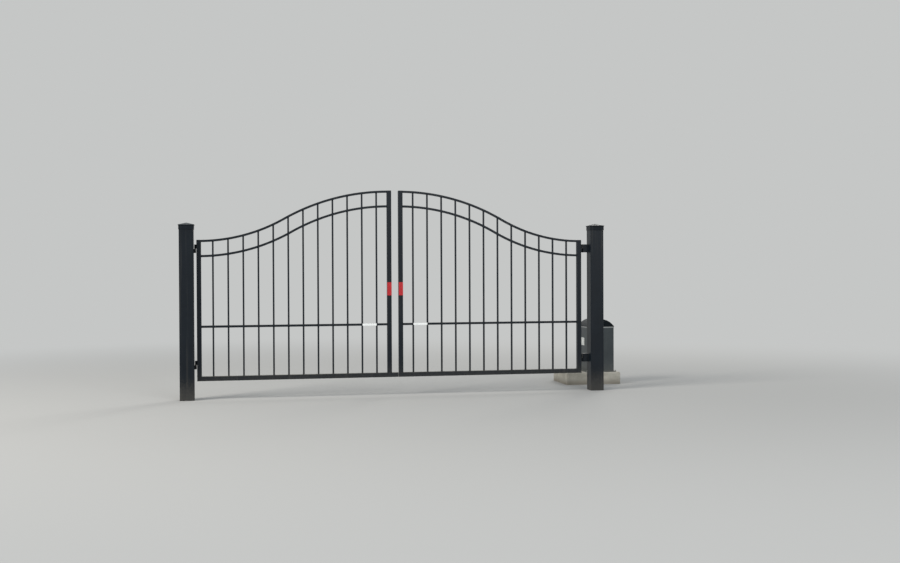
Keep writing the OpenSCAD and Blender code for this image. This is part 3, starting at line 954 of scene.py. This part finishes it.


# Operator cabinet: a sheet metal box with rounded uprights on a base flange, bolted to the pad by four
# anchors, a pale strip under the lid that is a painted highlight along the cabinet's top edge, and a bare
# plate on its left side.
CABINET_CORNER = 0.014
FLANGE_CORNER = 0.018
FLANGE_OUT = 0.024
FLANGE_THICK = 0.008
FLANGE_EDGE = 0.001
FOOT_BEND = 0.004
FOOT_HOLLOW = 0.0012
STRIP_HEIGHT = 0.014
STRIP_OUT = 0.002
STRIP_EDGE = 0.0008
STRIP_ROOT = 0.0002
ANCHOR_IN = 0.012
WASHER_THICK = 0.002
WASHER_SIDES, NUT_SIDES, STUD_SIDES = 28, 6, 20
PLATE_LOW_YZ = (0.800, 0.477)
PLATE_HIGH_YZ = (0.917, 0.575)
PLATE_THICK = 0.0012

cabinet_paint = painted("cabinet_paint", specular=0.32, Paint=(0.038, 0.047, 0.051, 1),
                        Dust=(0.30, 0.28, 0.23, 1), On_top=0.5, Splash=0.22, Splash_height=0.34,
                        Runs=0.06, Gloss=0.42)

low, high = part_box("operator_cabinet")
flange_top = low.z + FLANGE_THICK
cabinet = upright("operator_cabinet_shell", low, high, [
    (low.z, 0.0, FLANGE_CORNER),
    (flange_top - FLANGE_EDGE, 0.0, FLANGE_CORNER),
    (flange_top, FLANGE_EDGE, FLANGE_CORNER),
    (flange_top, FLANGE_OUT - FOOT_BEND, CABINET_CORNER + FOOT_BEND),
    (flange_top + FOOT_HOLLOW, FLANGE_OUT - FOOT_HOLLOW, CABINET_CORNER),
    (flange_top + FOOT_BEND, FLANGE_OUT, CABINET_CORNER),
    (high.z, FLANGE_OUT, CABINET_CORNER),
])
show("operator_cabinet_shell", cabinet, cabinet_paint, "posts", "cabinet", "operator_cabinet")

# The strip's pale grey is a painted highlight along the cabinet's top edge under the lid.
highlight_grey = unpainted("highlight_grey", metallic=0.3, Clean=(0.25, 0.26, 0.26, 1), Worn=(0.38, 0.39, 0.38, 1),
                      Scale=60, Start=0.3, End=0.75, Smooth=0.35, Rough=0.6)
strip_z = high.z - STRIP_HEIGHT
pale_strip = upright("operator_highlight_strip", low, high, [
    (strip_z, FLANGE_OUT - STRIP_ROOT, CABINET_CORNER),
    (strip_z + STRIP_EDGE, FLANGE_OUT - STRIP_OUT, CABINET_CORNER + STRIP_OUT),
    (high.z, FLANGE_OUT - STRIP_OUT, CABINET_CORNER + STRIP_OUT),
])
show("operator_highlight_strip", pale_strip, highlight_grey, "posts", "cabinet")

anchor, sizes = new_tree("anchor", Washer=0.010, Washer_height=WASHER_THICK, Nut=0.0092,
                         Nut_height=0.008, Stud=0.005, Stud_height=0.006)
tree = anchor
pieces = []
foot = 0.0
for label, side_count in (("Washer", WASHER_SIDES), ("Nut", NUT_SIDES), ("Stud", STUD_SIDES)):
    tall = sizes[label + " height"]
    given = {"Vertices": side_count, "Radius": sizes[label], "Depth": tall}
    piece = put(tree, "GeometryNodeMeshCylinder", given)[0]
    lift = vector(tree, 0.0, 0.0, calc(tree, "MULTIPLY_ADD", tall, 0.5, foot))
    pieces.append(put(tree, "GeometryNodeTransform", {"Geometry": piece, "Translation": lift})[0])
    foot = calc(tree, "ADD", foot, tall)
bolt = gather(tree, pieces)
bolts = put(tree, "GeometryNodeInstanceOnPoints", {"Points": sizes["Places"], "Instance": bolt})[0]
finish_tree(tree, bolts, sizes["Finish"])

zinc = unpainted("anchor_zinc", metallic=0.85, Clean=(0.42, 0.42, 0.40, 1), Worn=(0.16, 0.11, 0.07, 1),
                 Scale=220, Start=0.45, End=0.8, Smooth=0.35, Rough=0.75)
corners = [(x, y, flange_top) for x in (low.x + ANCHOR_IN, high.x - ANCHOR_IN)
           for y in (low.y + ANCHOR_IN, high.y - ANCHOR_IN)]
show("operator_anchors", grow("operator_anchors", anchor, zinc, corners), zinc, "posts", "cabinet")

plate_white = unpainted("plate_white", Clean=(0.72, 0.73, 0.70, 1), Worn=(0.50, 0.49, 0.44, 1), Scale=18,
                        Start=0.45, End=0.8, Smooth=0.3, Rough=0.55)
side_x = low.x + FLANGE_OUT
blank = plate("operator_side_plate", (side_x - PLATE_THICK, *PLATE_LOW_YZ), (side_x, *PLATE_HIGH_YZ), "X")
show("operator_side_plate", blank, plate_white, "posts", "cabinet")


# Operator lid: a pressed lid with a barrel top that runs from front to back, satin black,
# with a rolled lip where it caps the cabinet.
LID_CORNER = 0.019
LID_LIP = 0.010
LID_LIP_PROUD = 0.0022
FOLD, FOLD_CORNER = 0.0012, 0.018
SHOULDER, SHOULDER_CORNER = 0.0015, 0.017
SKIRT = 0.008
END_ROUND = 0.026
END_STEPS = 8
CROWN_STEPS = 40

lid_paint = painted("lid_paint", specular=0.04, bump=0.05, Paint=(0.0075, 0.0105, 0.0130, 1),
                    Dust=(0.30, 0.29, 0.26, 1), On_top=0.05, Splash=0.0, Runs=0.02, Gloss=0.22)

low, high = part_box("operator_lid")
half_width, half_depth = (high.x - low.x) / 2, (high.y - low.y) / 2
lid_height = high.z - low.z


def lid_outline(inset):
    """The lid's cross section, anticlockwise seen from the street and drawn in by inset."""
    half, top = half_width - inset, lid_height - inset
    rise = top - SKIRT
    bow = (half ** 2 + rise ** 2) / (2 * rise)
    reach = math.asin(half / bow)
    points = [(half, 0.0)]
    for step in range(CROWN_STEPS + 1):
        angle = reach * (1 - 2 * step / CROWN_STEPS)
        points.append((bow * math.sin(angle), top - bow + bow * math.cos(angle)))
    points.append((-half, 0.0))
    return points


end = half_depth - LID_LIP_PROUD
rounded_end = []
for step in range(END_STEPS + 1):
    angle = QUARTER_TURN * step / END_STEPS
    inset = LID_LIP_PROUD + END_ROUND * (1 - math.sin(angle))
    rounded_end.append((END_ROUND * (1 - math.cos(angle)), inset))
rings = [(-end + along, inset) for along, inset in rounded_end]
rings += [(end - along, inset) for along, inset in reversed(rounded_end)]
vertices, faces = [], []
for along, inset in rings:
    vertices += [(x, along, z) for x, z in lid_outline(inset)]
count = CROWN_STEPS + 3
for level in range(len(rings) - 1):
    for i in range(count):
        j = (i + 1) % count
        near_ring, far_ring = level * count, (level + 1) * count
        faces.append((near_ring + i, far_ring + i, far_ring + j, near_ring + j))
faces.append(tuple(range(count)))
faces.append(tuple(reversed(range(len(vertices) - count, len(vertices)))))
crown = bpy.data.meshes.new("operator_lid_crown")
crown.from_pydata(vertices, [], faces)
crown.transform(Matrix.Translation(((low.x + high.x) / 2, (low.y + high.y) / 2, low.z)))
lip = upright("operator_lid_lip", low, high, [
    (low.z, FOLD, FOLD_CORNER),
    (low.z + FOLD, 0.0, LID_CORNER),
    (low.z + LID_LIP - SHOULDER, 0.0, LID_CORNER),
    (low.z + LID_LIP, LID_LIP_PROUD, SHOULDER_CORNER),
])
lid = joined("operator_lid_pressing", (crown, lip))
show("operator_lid_pressing", lid, lid_paint, "posts", "lid", "operator_lid")
